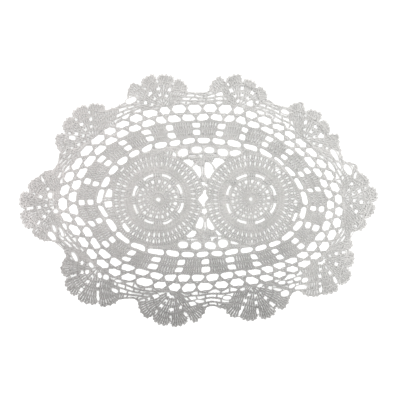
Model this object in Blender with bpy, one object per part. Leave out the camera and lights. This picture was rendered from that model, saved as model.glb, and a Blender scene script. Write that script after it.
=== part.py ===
"""Oval crochet lace mat: one flat sheet of cotton lace, cut through where its mesh is open.

Two round centres sit side by side. Around them run a row of cells, a ring of solid
blocks with paired cells between them, and two rounds of honeycomb net. Ten scallops
make the edge. Walks and reaches below are millimetres: a walk goes counter-clockwise
round the mat from its right tip, and a reach goes straight out from the line that
joins the two round centres.
"""

import math

import bmesh
import bpy

MM = 0.001
THICKNESS = 2.4

# The two round centres
FOCUS = 51.8  # each centre's distance from the middle
WALK_RADIUS = 55.7  # reach at which a walk is a true length
BEND = math.pi * WALK_RADIUS / 2
STRAIGHT = 2 * FOCUS
ROUND = 2 * STRAIGHT + 4 * BEND

# Rounds, as rises from the middle line of the honeycomb net
NET_TOP = 9.9
NET_MIDDLE = 0.0
BLOCK_TOP = -9.6
BLOCK_MIDDLE = -18.3
BLOCK_BOTTOM = -27.0
CELL_BOTTOM = -36.0
HUB_RISE = 11.0
MEAN_REACH = 90.3  # the net's reach, on average
UNEVEN_GAIN = 0.013  # how much less a round wanders, for each millimetre further in
WAIST_LIFT_TOP = 0.12  # how much the rounds stand off the waist, above and below
WAIST_LIFT_BOTTOM = 0.05

# The net and the block ring
NET_CELLS = 50
CELLS_A_SCALLOP = 5
ZIGZAG = 1.1  # half the height of the net's wave
NET_STRAND = 2.7
BLOCK_CELLS = 25
PAIR_HALF = 0.39  # half a pair's width, in net cells
BLOCK_STRAND = 2.4
SKEW = 9.0  # how far the block ring has slipped round, at most
SKEW_START = 0.2535

# The row of cells next to the centres
ROW_CELLS = 34
ROW_STRAND = 2.6
ROW_SHIFTS = (1.1, 2.6, 7.1, 9.0, 7.0, 2.2, -3.0, -3.5, 6.0, 5.9, 5.7, 5.0)

# Long openings, from the middle of the mat's centre line
LONG_COLUMNS = ("x", "y", "half_length", "half_width", "turn")
# The loops between that row and the centres
LOOP_ROWS = (
    (-52.1, 48.9, 5.4, 2.5, 0),
    (-36.9, 50.2, 5.6, 2.9, -14),
    (-23.8, 52.3, 5.4, 3.7, 20),
    (-8.4, 55.3, 5.6, 3.4, 3),
    (5.7, 54.5, 5.5, 3.2, -3),
    (20.7, 52.3, 5.6, 3.7, -8),
    (34.9, 51.5, 6.2, 3.0, 4),
    (-23.6, -50.5, 5.5, 3.4, 0),
    (-8.8, -51.5, 5.5, 3.8, 0),
    (6.8, -51.3, 6.0, 3.7, -8),
    (21.0, -49.0, 5.5, 4.1, 6),
    (34.3, -47.9, 4.6, 2.3, -6),
    (51.1, -46.9, 5.0, 2.1, 8),
)
# Where the row stands off a centre's rim
RIM_ROWS = (
    (-87.0, -32.2, 5.4, 2.3, -50),
    (-106.6, 8.1, 4.9, 1.8, 88),
    (-92.0, 34.4, 3.3, 1.3, 32),
    (81.7, 32.1, 4.7, 2.4, -54),
    (101.8, -3.7, 3.7, 2.5, -80),
    (92.1, -31.1, 4.4, 1.5, 27),
    (79.1, -42.2, 4.4, 1.6, 36),
)
# In and beside the scallops, where the rounds are pulled apart
PULLED_ROWS = (
    (-165.0, -12.7, 2.8, 2.5, -50),
    (-158.8, -35.7, 5.8, 1.6, -60),
    (-109.6, -86.6, 3.4, 2.8, -10),
    (-116.6, -84.4, 3.1, 1.9, -70),
    (-130.4, -81.0, 2.4, 2.4, 0),
    (-99.6, -101.8, 4.2, 1.9, -25),
    (103.7, -88.6, 4.4, 1.9, 12),
    (97.4, -96.7, 3.6, 1.9, 28),
    (81.4, -100.5, 4.6, 1.5, -5),
    (62.6, -95.9, 3.6, 1.8, 20),
    (42.4, -99.8, 2.9, 1.9, 10),
    (-4.9, -113.7, 5.0, 1.6, -5),
)
LONG_GAPS = [dict(zip(LONG_COLUMNS, row)) for row in LOOP_ROWS + RIM_ROWS + PULLED_ROWS]

# The arcs in each round centre
ARCS = 8
ARC_REACH = 27.0
ARC_SPAN = 26.0
ARC_WIDTH = 2.4
ARC_STARTS = (24.0, 23.0)  # bearing of the first arc, left and right
ARC_INNER_SHARE = 0.8  # an arc is a little shorter on its inner side

# Scallops, counter-clockwise from the right tip. lobe_a to lobe_e are its five lobes'
# lengths from its hub, lean turns them, and dip is the low point after it.
SCALLOP_COLUMNS = ("walk", "net", "lean", "lobe_a", "lobe_b", "lobe_c", "lobe_d", "lobe_e",
                   "dip_walk", "dip_net", "dip")
SCALLOP_ROWS = (
    (0.1, 92.7, 10, 40.0, 35.6, 36.8, 35.4, 42.0, 21.1, 84.9, 27.6),
    (47.9, 79.7, -4, 46.0, 39.4, 32.2, 35.6, 42.5, 73.2, 83.4, 25.8),
    (102.3, 93.8, -5, 37.0, 32.0, 31.8, 36.2, 41.8, 140.9, 95.9, 23.3),
    (182.4, 93.8, 11, 36.0, 35.4, 37.4, 42.2, 45.0, 209.6, 87.9, 26.3),
    (234.2, 89.1, 8, 37.4, 37.4, 36.9, 43.0, 46.0, 260.3, 94.4, 24.8),
    (281.1, 100.9, -10, 38.6, 37.9, 41.4, 43.2, 44.0, 302.8, 91.6, 27.6),
    (327.5, 89.9, -2, 42.0, 41.6, 42.4, 42.8, 44.5, 352.4, 87.9, 26.8),
    (385.5, 92.8, -6, 45.0, 41.8, 38.3, 39.0, 42.5, 427.5, 91.3, 28.5),
    (467.8, 86.2, -7, 42.5, 39.5, 40.2, 43.6, 46.0, 493.7, 85.0, 29.7),
    (516.5, 90.5, -4, 43.5, 41.2, 40.0, 38.3, 41.0, 538.2, 94.0, 24.1),
)
SCALLOPS = [dict(zip(SCALLOP_COLUMNS, row)) for row in SCALLOP_ROWS]
LOBES = 5
LOBE_PITCH = 36.0
HUB_AHEAD = 5.0  # a scallop faces the point this much further out
# A lobe's edge: bearing from its middle, and height over its own radius
LOBE_EDGE = ((-18.0, -5.6), (-14.0, -1.9), (-7.5, -0.2), (-5.0, -0.9), (0.0, 0.2),
             (5.0, -0.8), (8.0, -0.2), (14.0, -2.1))

NOTCH_END = 62.0  # the notches fade out towards the sides of a scallop
NOTCH_FADE = 12.0

# Small square openings between the spokes of a scallop
SPOKE_GAPS = 4
SPOKE_GAP_REACH = 19.0
SPOKE_GAP_HALF = 1.75
SPOKE_GAP_TAPER = 0.7  # narrower on the side of the hub

# The wide openings at the sides of scallops, from their hubs
SIDE_COLUMNS = ("scallop", "bearing", "reach", "half_length", "half_width", "turn")
SIDE_ROWS = (
    (0, 83, 33.2, 6.6, 3.2, 39),
    (0, 99, 38.8, 4.6, 1.8, 27),
    (1, -64, 38.0, 8.0, 2.5, -30),
    (1, 87, 37.5, 5.0, 2.0, 36),
    (3, 63, 35.4, 6.2, 3.0, 33),
    (4, 37, 23.6, 3.9, 2.3, -18),
    (5, 80, 36.0, 6.6, 2.9, 48),
    (5, -59, 11.0, 3.3, 2.6, -41),
    (5, 82, 27.4, 4.4, 1.9, 29),
    (6, -57, 8.5, 3.8, 2.1, -35),
    (6, -63, 29.0, 6.0, 2.0, -30),
    (6, 110, 27.1, 4.3, 1.8, 24),
    (8, 42, 36.1, 5.2, 3.5, 25),
    (8, -100, 31.6, 4.4, 2.0, -31),
    (8, 62, 32.0, 4.0, 1.8, 2),
    (9, -94, 29.0, 3.9, 2.4, -35),
    (9, -92, 37.4, 7.2, 2.2, -49),
)
SIDE_GAPS = [dict(zip(SIDE_COLUMNS, row)) for row in SIDE_ROWS]

# Openings where the two centres meet, from the middle of the mat's centre line
WAIST_COLUMNS = ("x", "y", "half_width", "half_height", "turn", "corners")
WAIST_ROWS = (
    (5.2, 32.2, 4.8, 7.8, 8, 5),
    (-8.2, 31.0, 4.2, 6.6, 20, 5),
    (16.0, 40.2, 5.3, 5.2, 20, 4),
    (-18.4, 40.6, 5.2, 3.4, -14, 4),
    (-4.7, -26.4, 3.6, 6.4, -16, 5),
    (6.9, -27.6, 4.2, 6.2, 20, 5),
    (-15.3, -38.6, 5.2, 3.7, 12, 4),
    (16.9, -36.5, 3.3, 3.7, 30, 4),
    (-0.8, 16.9, 1.5, 1.4, 0, 4),
    (0.1, -14.4, 1.7, 1.7, 0, 4),
)
WAIST_GAPS = [dict(zip(WAIST_COLUMNS, row)) for row in WAIST_ROWS]
WAIST_CORNER_OUT = 1.1  # corners stand this much outside an opening's half sizes
STAR = dict(x=-0.8, y=1.0, half_width=6.0, half_height=10.2, points=4, pinch=0.5)

# A long opening's corners, in its half length and half width
LONG_SHAPE = ((-1, 0), (-0.6, -1), (0.6, -1), (1, 0), (0.6, 1), (-0.6, 1))

NET_VALUES = [row[key] for row in SCALLOPS for key in ("net", "dip_net")]
WALK_VALUES = [row[key] for row in SCALLOPS for key in ("walk", "dip_walk")]
STATIONS = len(NET_VALUES)
CELLS_A_STATION = NET_CELLS / STATIONS


def smooth_step(values, period, t):
    """A smooth closed curve through evenly spaced values, which grow by period a turn."""
    count = len(values)
    start = math.floor(t)
    f = t - start
    a, b, c, d = (values[(start + k) % count] + period * ((start + k) // count)
                  for k in (-1, 0, 1, 2))
    return b + 0.5 * f * (c - a + f * (2 * a - 5 * b + 4 * c - d + f * (3 * (b - c) + d - a)))


def net_at(cell):
    return smooth_step(NET_VALUES, 0.0, cell / CELLS_A_STATION)


def walk_at(cell):
    return smooth_step(WALK_VALUES, ROUND, cell / CELLS_A_STATION)


def cell_at(walk):
    low, high = -CELLS_A_SCALLOP, NET_CELLS + CELLS_A_SCALLOP
    if walk_at(low) > walk:
        walk += ROUND
    while high - low > 1e-6:
        middle = (low + high) / 2
        if walk_at(middle) < walk:
            low = middle
        else:
            high = middle
    return low


def place(walk, reach):
    """The point at a walk and a reach, from the middle between the two centres."""
    walk %= ROUND
    if BEND <= walk < BEND + STRAIGHT:
        return (FOCUS + BEND - walk, reach)
    if 3 * BEND + STRAIGHT <= walk < 3 * BEND + 2 * STRAIGHT:
        return (walk - 3 * BEND - STRAIGHT - FOCUS, -reach)
    if walk < BEND:
        x, angle = FOCUS, walk / WALK_RADIUS
    elif walk < 3 * BEND + STRAIGHT:
        x, angle = -FOCUS, (walk - STRAIGHT) / WALK_RADIUS
    else:
        x, angle = FOCUS, (walk - 2 * STRAIGHT) / WALK_RADIUS
    return (x + reach * math.cos(angle), reach * math.sin(angle))


def locate(point):
    """The walk and reach of a point: the other way round from place."""
    x, y = point
    if abs(x) <= FOCUS:
        walk = BEND + FOCUS - x if y >= 0 else 3 * BEND + STRAIGHT + FOCUS + x
        return walk, abs(y)
    centre = math.copysign(FOCUS, x)
    angle = math.atan2(y, x - centre) % (2 * math.pi)
    walk = angle * WALK_RADIUS
    if x < 0:
        walk += STRAIGHT
    elif angle > math.pi:
        walk += 2 * STRAIGHT
    return walk, math.hypot(x - centre, y)


def reach_at(walk, net, rise):
    """Inner rounds wander less than the net, and bow out over the waist."""
    wander = 1 + UNEVEN_GAIN * rise
    x, y = place(walk, 1.0)
    lift = 0.0
    if rise < 0 and abs(x) < FOCUS:
        side = WAIST_LIFT_TOP if y > 0 else WAIST_LIFT_BOTTOM
        lift = -rise * side * math.cos(math.pi / 2 * x / FOCUS) ** 2
    return MEAN_REACH + (net - MEAN_REACH) * wander + rise + lift


def spot(cell, rise):
    """A point of the net or the block ring: cell counts net cells from the right tip."""
    walk = walk_at(cell)
    turn = 4 * math.pi * (walk / ROUND - SKEW_START)
    slip = SKEW * math.sin(turn) * (1 + math.cos(turn)) / 2
    return row_spot(walk + slip * rise / -BLOCK_MIDDLE, rise)


def row_spot(walk, rise):
    return place(walk, reach_at(walk, net_at(cell_at(walk % ROUND)), rise))


def shrink(corners, strand):
    """A cell's opening: its sides move in by half a strand."""
    count = len(corners)
    half = strand / 2
    lines = []
    for k in range(count):
        (ax, ay), (bx, by) = corners[k], corners[(k + 1) % count]
        length = math.hypot(bx - ax, by - ay)
        nx, ny = (ay - by) / length, (bx - ax) / length
        lines.append((nx, ny, nx * ax + ny * ay + half))
    opening = []
    for k in range(count):
        (a, b, e), (c, d, f) = lines[k - 1], lines[k]
        det = a * d - b * c
        opening.append(((e * d - b * f) / det, (a * f - e * c) / det))
    return opening


def turned(x, y, degrees, centre):
    c, s = math.cos(math.radians(degrees)), math.sin(math.radians(degrees))
    return (centre[0] + x * c - y * s, centre[1] + x * s + y * c)


def net_openings():
    """Two rounds of six-sided and five-sided cells, half a cell apart."""
    openings = []
    for cell in range(NET_CELLS):
        left, right = cell - 0.5, cell + 0.5
        openings.append(shrink([
            spot(left, NET_TOP - ZIGZAG), spot(left, NET_MIDDLE + ZIGZAG),
            spot(cell, NET_MIDDLE - ZIGZAG), spot(right, NET_MIDDLE + ZIGZAG),
            spot(right, NET_TOP - ZIGZAG), spot(cell, NET_TOP + ZIGZAG)][::-1], NET_STRAND))
        openings.append(shrink([
            spot(cell, NET_MIDDLE - ZIGZAG), spot(cell, BLOCK_TOP),
            spot(cell + 1, BLOCK_TOP), spot(cell + 1, NET_MIDDLE - ZIGZAG),
            spot(right, NET_MIDDLE + ZIGZAG)][::-1], NET_STRAND))
    return openings


def block_openings():
    """Two cells, one over the other, between each block and the next."""
    openings = []
    for pair in range(BLOCK_CELLS):
        middle = NET_CELLS / BLOCK_CELLS * (pair + 0.5)
        left, right = middle - PAIR_HALF, middle + PAIR_HALF
        for low, high in ((BLOCK_BOTTOM, BLOCK_MIDDLE), (BLOCK_MIDDLE, BLOCK_TOP)):
            openings.append(shrink([spot(left, high), spot(right, high), spot(right, low),
                                    spot(left, low)], BLOCK_STRAND))
    return openings


def row_walk(cell):
    turn = cell / ROW_CELLS
    return ROUND * turn + smooth_step(ROW_SHIFTS, 0.0, turn * len(ROW_SHIFTS))


def row_openings():
    openings = []
    for cell in range(ROW_CELLS):
        left, right = row_walk(cell - 0.5), row_walk(cell + 0.5)
        openings.append(shrink([row_spot(left, BLOCK_BOTTOM), row_spot(right, BLOCK_BOTTOM),
                                row_spot(right, CELL_BOTTOM), row_spot(left, CELL_BOTTOM)],
                               ROW_STRAND))
    return openings


def long_opening(centre, half_length, half_width, degrees):
    return [turned(half_length * x, half_width * y, degrees, centre) for x, y in LONG_SHAPE]


def long_openings():
    return [long_opening((gap["x"], gap["y"]), gap["half_length"], gap["half_width"],
                         gap["turn"]) for gap in LONG_GAPS]


def arc_openings():
    """Eight narrow arcs round each centre, where its shells spring from."""
    openings = []
    for side, start in zip((-1, 1), ARC_STARTS):
        for arc in range(ARCS):
            middle = start + arc * 360 / ARCS
            outer = [turned(ARC_REACH + ARC_WIDTH / 2, 0, middle + t * ARC_SPAN / 2,
                            (side * FOCUS, 0)) for t in (-1, 0, 1)]
            inner = [turned(ARC_REACH - ARC_WIDTH / 2, 0, middle + t * ARC_SPAN / 2,
                            (side * FOCUS, 0))
                     for t in (ARC_INNER_SHARE, 0, -ARC_INNER_SHARE)]
            openings.append(outer + inner)
    return openings


def waist_openings():
    openings = []
    for gap in WAIST_GAPS:
        count = gap["corners"]
        start = 90 if count == 5 else 45
        angles = [math.radians(start + 360 * k / count) for k in range(count)]
        openings.append([turned(gap["half_width"] * WAIST_CORNER_OUT * math.cos(a),
                                gap["half_height"] * WAIST_CORNER_OUT * math.sin(a),
                                gap["turn"], (gap["x"], gap["y"])) for a in angles])
    star = []
    for k in range(2 * STAR["points"]):
        a = math.pi * k / STAR["points"]
        size = STAR["pinch"] * math.sqrt(2) if k % 2 else 1
        star.append((STAR["x"] + size * STAR["half_width"] * math.cos(a),
                     STAR["y"] + size * STAR["half_height"] * math.sin(a)))
    openings.append(star)
    return openings


def hub(index):
    """A scallop's hub on the net's edge, and the bearing that it faces."""
    cell = index * CELLS_A_SCALLOP
    x, y = spot(cell, HUB_RISE)
    ahead = spot(cell, HUB_RISE + HUB_AHEAD)
    return (x, y), math.degrees(math.atan2(ahead[1] - y, ahead[0] - x))


def scallop_openings():
    openings = []
    for index, row in enumerate(SCALLOPS):
        centre, facing = hub(index)
        for k in range(SPOKE_GAPS):
            bearing = facing + row["lean"] + LOBE_PITCH * (k - (SPOKE_GAPS - 1) / 2)
            middle = turned(SPOKE_GAP_REACH, 0, bearing, centre)
            openings.append([turned(SPOKE_GAP_HALF * x, SPOKE_GAP_HALF * y, bearing, middle)
                             for x, y in ((-1, -SPOKE_GAP_TAPER), (1, -1), (1, 1),
                                          (-1, SPOKE_GAP_TAPER))])
    for gap in SIDE_GAPS:
        centre, facing = hub(gap["scallop"])
        bearing = facing + gap["bearing"]
        openings.append(long_opening(turned(gap["reach"], 0, bearing, centre),
                                     gap["half_length"], gap["half_width"],
                                     bearing + gap["turn"]))
    return openings


def mat_outline():
    """The scalloped edge, counter-clockwise: five lobes a scallop, then its low point."""
    outline = []
    for index, row in enumerate(SCALLOPS):
        before = SCALLOPS[index - 1]
        first = before["dip_walk"] - (ROUND if index == 0 else 0)
        centre, facing = hub(index)
        lobes = [row["lobe_" + letter] for letter in "abcde"]
        for lobe in range(LOBES):
            middle = facing + row["lean"] + LOBE_PITCH * (lobe - (LOBES - 1) / 2)
            for bearing, height in LOBE_EDGE:
                length = lobes[lobe] + height
                if bearing < -15 and lobe:
                    side = abs(middle - facing + bearing)
                    depth = min(1, max(0, (NOTCH_END - side) / NOTCH_FADE))
                    length = min(lobes[lobe - 1], lobes[lobe]) + height * depth
                point = turned(length, 0, middle + bearing, centre)
                walk, reach = locate(point)
                if walk > row["walk"] + ROUND / 2:
                    walk -= ROUND
                dip = before["dip"] if walk < row["walk"] else row["dip"]
                rise = reach - net_at(cell_at(walk))
                if first < walk < row["dip_walk"] and rise > dip:
                    outline.append(point)
        outline.append(place(row["dip_walk"], row["dip_net"] + row["dip"]))
    return outline


def cotton():
    material = bpy.data.materials.new("cotton")
    material.use_nodes = True
    shader = material.node_tree.nodes["Principled BSDF"]
    shader.inputs["Base Color"].default_value = (0.62, 0.61, 0.60, 1)
    shader.inputs["Roughness"].default_value = 0.85
    shader.inputs["Metallic"].default_value = 0.0
    return material


def build_mat():
    outline = mat_outline()
    openings = (net_openings() + block_openings() + row_openings() + long_openings()
                + arc_openings() + waist_openings() + scallop_openings())
    xs = [x for x, _ in outline]
    ys = [y for _, y in outline]
    middle = ((min(xs) + max(xs)) / 2, (min(ys) + max(ys)) / 2)
    bm = bmesh.new()
    edges = []
    for loop in [outline] + openings:
        points = [bm.verts.new(((x - middle[0]) * MM, (y - middle[1]) * MM, 0)) for x, y in loop]
        edges += [bm.edges.new((points[k - 1], points[k])) for k in range(len(points))]
    bmesh.ops.triangle_fill(bm, use_beauty=True, use_dissolve=False, edges=edges)
    bmesh.ops.recalc_face_normals(bm, faces=bm.faces)
    raised = bmesh.ops.extrude_face_region(bm, geom=bm.faces[:])
    top = [item for item in raised["geom"] if isinstance(item, bmesh.types.BMVert)]
    bmesh.ops.translate(bm, vec=(0, 0, THICKNESS * MM), verts=top)
    bmesh.ops.recalc_face_normals(bm, faces=bm.faces)
    mesh = bpy.data.meshes.new("lace_mat")
    bm.to_mesh(mesh)
    bm.free()
    mat = bpy.data.objects.new("lace_mat", mesh)
    mat.data.materials.append(cotton())
    bpy.context.scene.collection.objects.link(mat)


for item in list(bpy.data.objects):
    bpy.data.objects.remove(item, do_unlink=True)
build_mat()
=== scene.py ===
import bisect
import math
import random
from math import copysign, cos, dist, hypot, pi, radians, sin

import bmesh
import bpy
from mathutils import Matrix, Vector, noise


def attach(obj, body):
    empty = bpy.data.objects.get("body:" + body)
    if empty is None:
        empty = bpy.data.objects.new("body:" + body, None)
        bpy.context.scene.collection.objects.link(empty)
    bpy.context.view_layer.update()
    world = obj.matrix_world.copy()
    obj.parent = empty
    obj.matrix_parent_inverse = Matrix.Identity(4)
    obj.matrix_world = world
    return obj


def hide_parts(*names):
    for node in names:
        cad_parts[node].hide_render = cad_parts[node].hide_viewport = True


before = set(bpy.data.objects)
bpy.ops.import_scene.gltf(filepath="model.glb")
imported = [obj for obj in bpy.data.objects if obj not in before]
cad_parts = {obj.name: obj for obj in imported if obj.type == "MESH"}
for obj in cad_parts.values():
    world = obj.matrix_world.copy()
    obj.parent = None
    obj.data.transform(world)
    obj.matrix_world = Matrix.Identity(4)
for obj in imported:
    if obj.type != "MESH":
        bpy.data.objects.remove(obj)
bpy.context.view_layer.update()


mm = 0.001
random.seed(11)
noise.seed_set(11)

# Everything is laid out in millimetres from the middle between the two round centres.
# A walk goes counter-clockwise round the mat from its right tip, and a reach goes
# straight out from the line that joins the centres. A rise is counted from the net.
mat = {
    "focus": 51.8, "walkRadius": 55.7, "netTop": 9.9, "netMiddle": 0.0, "blockTop": -9.6,
    "blockMiddle": -18.3, "blockBottom": -27.0, "cellBottom": -36.0, "hubRise": 11.0,
    "meanReach": 90.3, "unevenGain": 0.013, "waistLiftTop": 0.12, "waistLiftBottom": 0.05,
    "netCells": 50, "cellsAScallop": 5, "zigzag": 1.1, "blockCells": 25, "pairHalf": 0.39,
    "skew": 9.0, "skewStart": 0.2535, "rowCells": 34,
    "rowShifts": (1.1, 2.6, 7.1, 9.0, 7.0, 2.2, -3.0, -3.5, 6.0, 5.9, 5.7, 5.0),
}
bend = pi * mat["walkRadius"] / 2
straight = 2 * mat["focus"]
roundLength = 2 * straight + 4 * bend

# One row a scallop, from the right tip: lobes are its lobes' lengths from its hub, lean
# turns them, and dip is the low point after it
scallopColumns = ("walk", "net", "lean", "lobes", "dipWalk", "dipNet", "dip")
scallopRows = (
    (0.1, 92.7, 10, (40.0, 35.6, 36.8, 35.4, 42.0), 21.1, 84.9, 27.6),
    (47.9, 79.7, -4, (46.0, 39.4, 32.2, 35.6, 42.5), 73.2, 83.4, 25.8),
    (102.3, 93.8, -5, (37.0, 32.0, 31.8, 36.2, 41.8), 140.9, 95.9, 23.3),
    (182.4, 93.8, 11, (36.0, 35.4, 37.4, 42.2, 45.0), 209.6, 87.9, 26.3),
    (234.2, 89.1, 8, (37.4, 37.4, 36.9, 43.0, 46.0), 260.3, 94.4, 24.8),
    (281.1, 100.9, -10, (38.6, 37.9, 41.4, 43.2, 44.0), 302.8, 91.6, 27.6),
    (327.5, 89.9, -2, (42.0, 41.6, 42.4, 42.8, 44.5), 352.4, 87.9, 26.8),
    (385.5, 92.8, -6, (45.0, 41.8, 38.3, 39.0, 42.5), 427.5, 91.3, 28.5),
    (467.8, 86.2, -7, (42.5, 39.5, 40.2, 43.6, 46.0), 493.7, 85.0, 29.7),
    (516.5, 90.5, -4, (43.5, 41.2, 40.0, 38.3, 41.0), 538.2, 94.0, 24.1),
)
scallops = [dict(zip(scallopColumns, row)) for row in scallopRows]
netValues = [row[key] for row in scallops for key in ("net", "dipNet")]
walkValues = [row[key] for row in scallops for key in ("walk", "dipWalk")]
cellsAStation = mat["netCells"] / len(netValues)


def soften(a, b, c, d, f):
    # a value a share of the way from b to c, with a and d as their neighbours
    return b + 0.5 * f * (c - a + f * (2 * a - 5 * b + 4 * c - d + f * (3 * (b - c) + d - a)))


def smoothStep(values, period, t):
    # a value between stations, more by the period after each trip round the mat
    count = len(values)
    start = math.floor(t)
    near = (values[(start + k) % count] + period * ((start + k) // count)
            for k in (-1, 0, 1, 2))
    return soften(*near, t - start)


def netAt(cell):
    return smoothStep(netValues, 0.0, cell / cellsAStation)


def netUnder(walk):
    return netAt(cellAt(walk))


def walkAt(cell):
    return smoothStep(walkValues, roundLength, cell / cellsAStation)


def cellAt(walk):
    low, high = -mat["cellsAScallop"], mat["netCells"] + mat["cellsAScallop"]
    if walkAt(low) > walk:
        walk += roundLength
    while high - low > 1e-5:
        middle = (low + high) / 2
        if walkAt(middle) < walk:
            low = middle
        else:
            high = middle
    return low


def place(walk, reach):
    walk %= roundLength
    focus = mat["focus"]
    if bend <= walk < bend + straight:
        return (focus + bend - walk, reach)
    if 3 * bend + straight <= walk < 3 * bend + 2 * straight:
        return (walk - 3 * bend - straight - focus, -reach)
    if walk < bend:
        x, angle = focus, walk / mat["walkRadius"]
    elif walk < 3 * bend + straight:
        x, angle = -focus, (walk - straight) / mat["walkRadius"]
    else:
        x, angle = focus, (walk - 2 * straight) / mat["walkRadius"]
    return (x + reach * cos(angle), reach * sin(angle))


def locate(point):
    x, y = point
    if abs(x) <= mat["focus"]:
        return (bend + mat["focus"] - x if y >= 0
                else 3 * bend + straight + mat["focus"] + x), abs(y)
    centre = copysign(mat["focus"], x)
    angle = math.atan2(y, x - centre) % (2 * pi)
    walk = angle * mat["walkRadius"]
    if x < 0:
        walk += straight
    elif angle > pi:
        walk += 2 * straight
    return walk, hypot(x - centre, y)


def reachAt(walk, net, rise):
    x, y = place(walk, 1.0)
    lift = 0.0
    if rise < 0 and abs(x) < mat["focus"]:
        side = mat["waistLiftTop"] if y > 0 else mat["waistLiftBottom"]
        lift = -rise * side * cos(pi / 2 * x / mat["focus"]) ** 2
    wander = 1 + mat["unevenGain"] * rise
    return mat["meanReach"] + (net - mat["meanReach"]) * wander + rise + lift


def spot(cell, rise):
    walk = walkAt(cell)
    turn = 4 * pi * (walk / roundLength - mat["skewStart"])
    slip = mat["skew"] * sin(turn) * (1 + cos(turn)) / 2
    return rowSpot(walk + slip * rise / -mat["blockMiddle"], rise)


def rowSpot(walk, rise):
    return place(walk, reachAt(walk, netUnder(walk % roundLength), rise))


def rowWalk(cell):
    turn = cell / mat["rowCells"]
    shifts = mat["rowShifts"]
    return roundLength * turn + smoothStep(shifts, 0.0, turn * len(shifts))


def turned(x, y, degrees, centre):
    c, s = cos(radians(degrees)), sin(radians(degrees))
    return (centre[0] + x * c - y * s, centre[1] + x * s + y * c)


def polar(radius, degrees, centre):
    return turned(radius, 0, degrees, centre)


def bearingOf(point, centre):
    return math.degrees(math.atan2(point[1] - centre[1], point[0] - centre[0]))


def walkPast(walk, start):
    # how far one walk is past another, the shorter way round
    return (walk - start + roundLength / 2) % roundLength - roundLength / 2


# The mat's edge, as the frame has it: five lobes a scallop, then its low point
edge = {
    "lobes": 5,
    "lobePitch": 36.0,
    # bearing from the lobe's middle, and height over its own radius
    "shape": ((-18, -5.6), (-14, -1.9), (-7.5, -0.2), (-5, -0.9), (0, 0.2), (5, -0.8),
              (8, -0.2), (14, -2.1)),
    "notchEnd": 62.0,
    "notchFade": 12.0,
}


def hub(index):
    # a scallop's hub, and the bearing in which it faces
    cell = index * mat["cellsAScallop"]
    centre = spot(cell, mat["hubRise"])
    return centre, bearingOf(spot(cell, mat["hubRise"] + 5), centre)


def lowBefore(index):
    # how far along the edge the low point before a scallop is
    return scallops[index - 1]["dipWalk"] - (0 if index else roundLength)


def matOutline():
    outline = []
    for index, row in enumerate(scallops):
        before = scallops[index - 1]
        centre, facing = hub(index)
        lobes = row["lobes"]
        for lobe in range(edge["lobes"]):
            middle = facing + row["lean"] + edge["lobePitch"] * (lobe - 2)
            for bearing, height in edge["shape"]:
                length = lobes[lobe] + height
                if bearing < -15 and lobe:
                    side = abs(middle - facing + bearing)
                    depth = min(1, max(0, (edge["notchEnd"] - side) / edge["notchFade"]))
                    length = min(lobes[lobe - 1], lobes[lobe]) + height * depth
                point = polar(length, middle + bearing, centre)
                walk, reach = locate(point)
                if walk > row["walk"] + roundLength / 2:
                    walk -= roundLength
                dip = before["dip"] if walk < row["walk"] else row["dip"]
                rise = reach - netUnder(walk)
                if lowBefore(index) < walk < row["dipWalk"] and rise > dip:
                    outline.append(point)
        outline.append(place(row["dipWalk"], row["dipNet"] + row["dip"]))
    return outline


outline = matOutline()
originX = (min(x for x, _ in outline) + max(x for x, _ in outline)) / 2
originY = (min(y for _, y in outline) + max(y for _, y in outline)) / 2


# Yarn: every piece below is a list of threads, each a list of points with their height
yarn = {
    "thickness": 1.04, "bevelResolution": 1,
    "flatness": 0.5,  # the yarn is pressed to an oval, wider than high
    "lowHeight": 0.50, "highHeight": 1.90, "chainPitch": 2.5, "chainWidth": 3.0,
    "postWidth": 2.5,
    "halfTurn": 2.9,  # length of a post in which its two threads change sides
    "twist": 0.3,  # 1 lets the two threads of a post cross fully, 0 not at all
    "wander": 1.5,  # how far the hand's unevenness moves a stitch
    "wanderSize": 15.0, "stitchShake": 0.10,
    "turnRise": 0.46,  # how far the two threads of a strand rise and sink
    "weave": 0.3, "shortest": 1.5,
    "wrapFrom": 4.0,  # a shorter post has no thread wrapped over it
}
# One link: along the chain in pitches, across in half widths, height from low to high
linkShape = ((-0.10, 0.0, 0.0), (0.30, 0.55, 0.25), (0.80, 1.0, 0.7), (1.12, 0.62, 1.0),
             (1.24, 0.0, 1.0), (1.12, -0.62, 1.0), (0.80, -1.0, 0.7), (0.30, -0.55, 0.25))
ovalPower = 2.4  # 2 makes an opening an oval, and more makes it squarer
# The thread over a post: how far up it, across in half widths, and height
wrapShape = ((0.34, -1.25, 1.25), (0.46, 0.0, 1.92), (0.58, 1.25, 1.25))


def layer(share):
    # a height, from the lowest threads to the highest
    return yarn["lowHeight"] + (yarn["highHeight"] - yarn["lowHeight"]) * share


def between(a, b, share):
    return tuple(p + (q - p) * share for p, q in zip(a, b))


def smoothPath(points, closed=False, steps=4):
    # a soft curve through the points, with the running length of each
    count = len(points)
    spans = count if closed else count - 1
    fine = []
    for k in range(spans):
        near = [points[(k + j) % count if closed else min(max(k + j, 0), count - 1)]
                for j in (-1, 0, 1, 2)]
        for step in range(steps):
            fine.append(tuple(soften(*values, step / steps) for values in zip(*near)))
    fine.append(points[0] if closed else points[-1])
    lengths = [0.0]
    for a, b in zip(fine, fine[1:]):
        lengths.append(lengths[-1] + dist(a, b))
    return {"points": fine, "lengths": lengths, "total": lengths[-1], "closed": closed}


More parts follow.
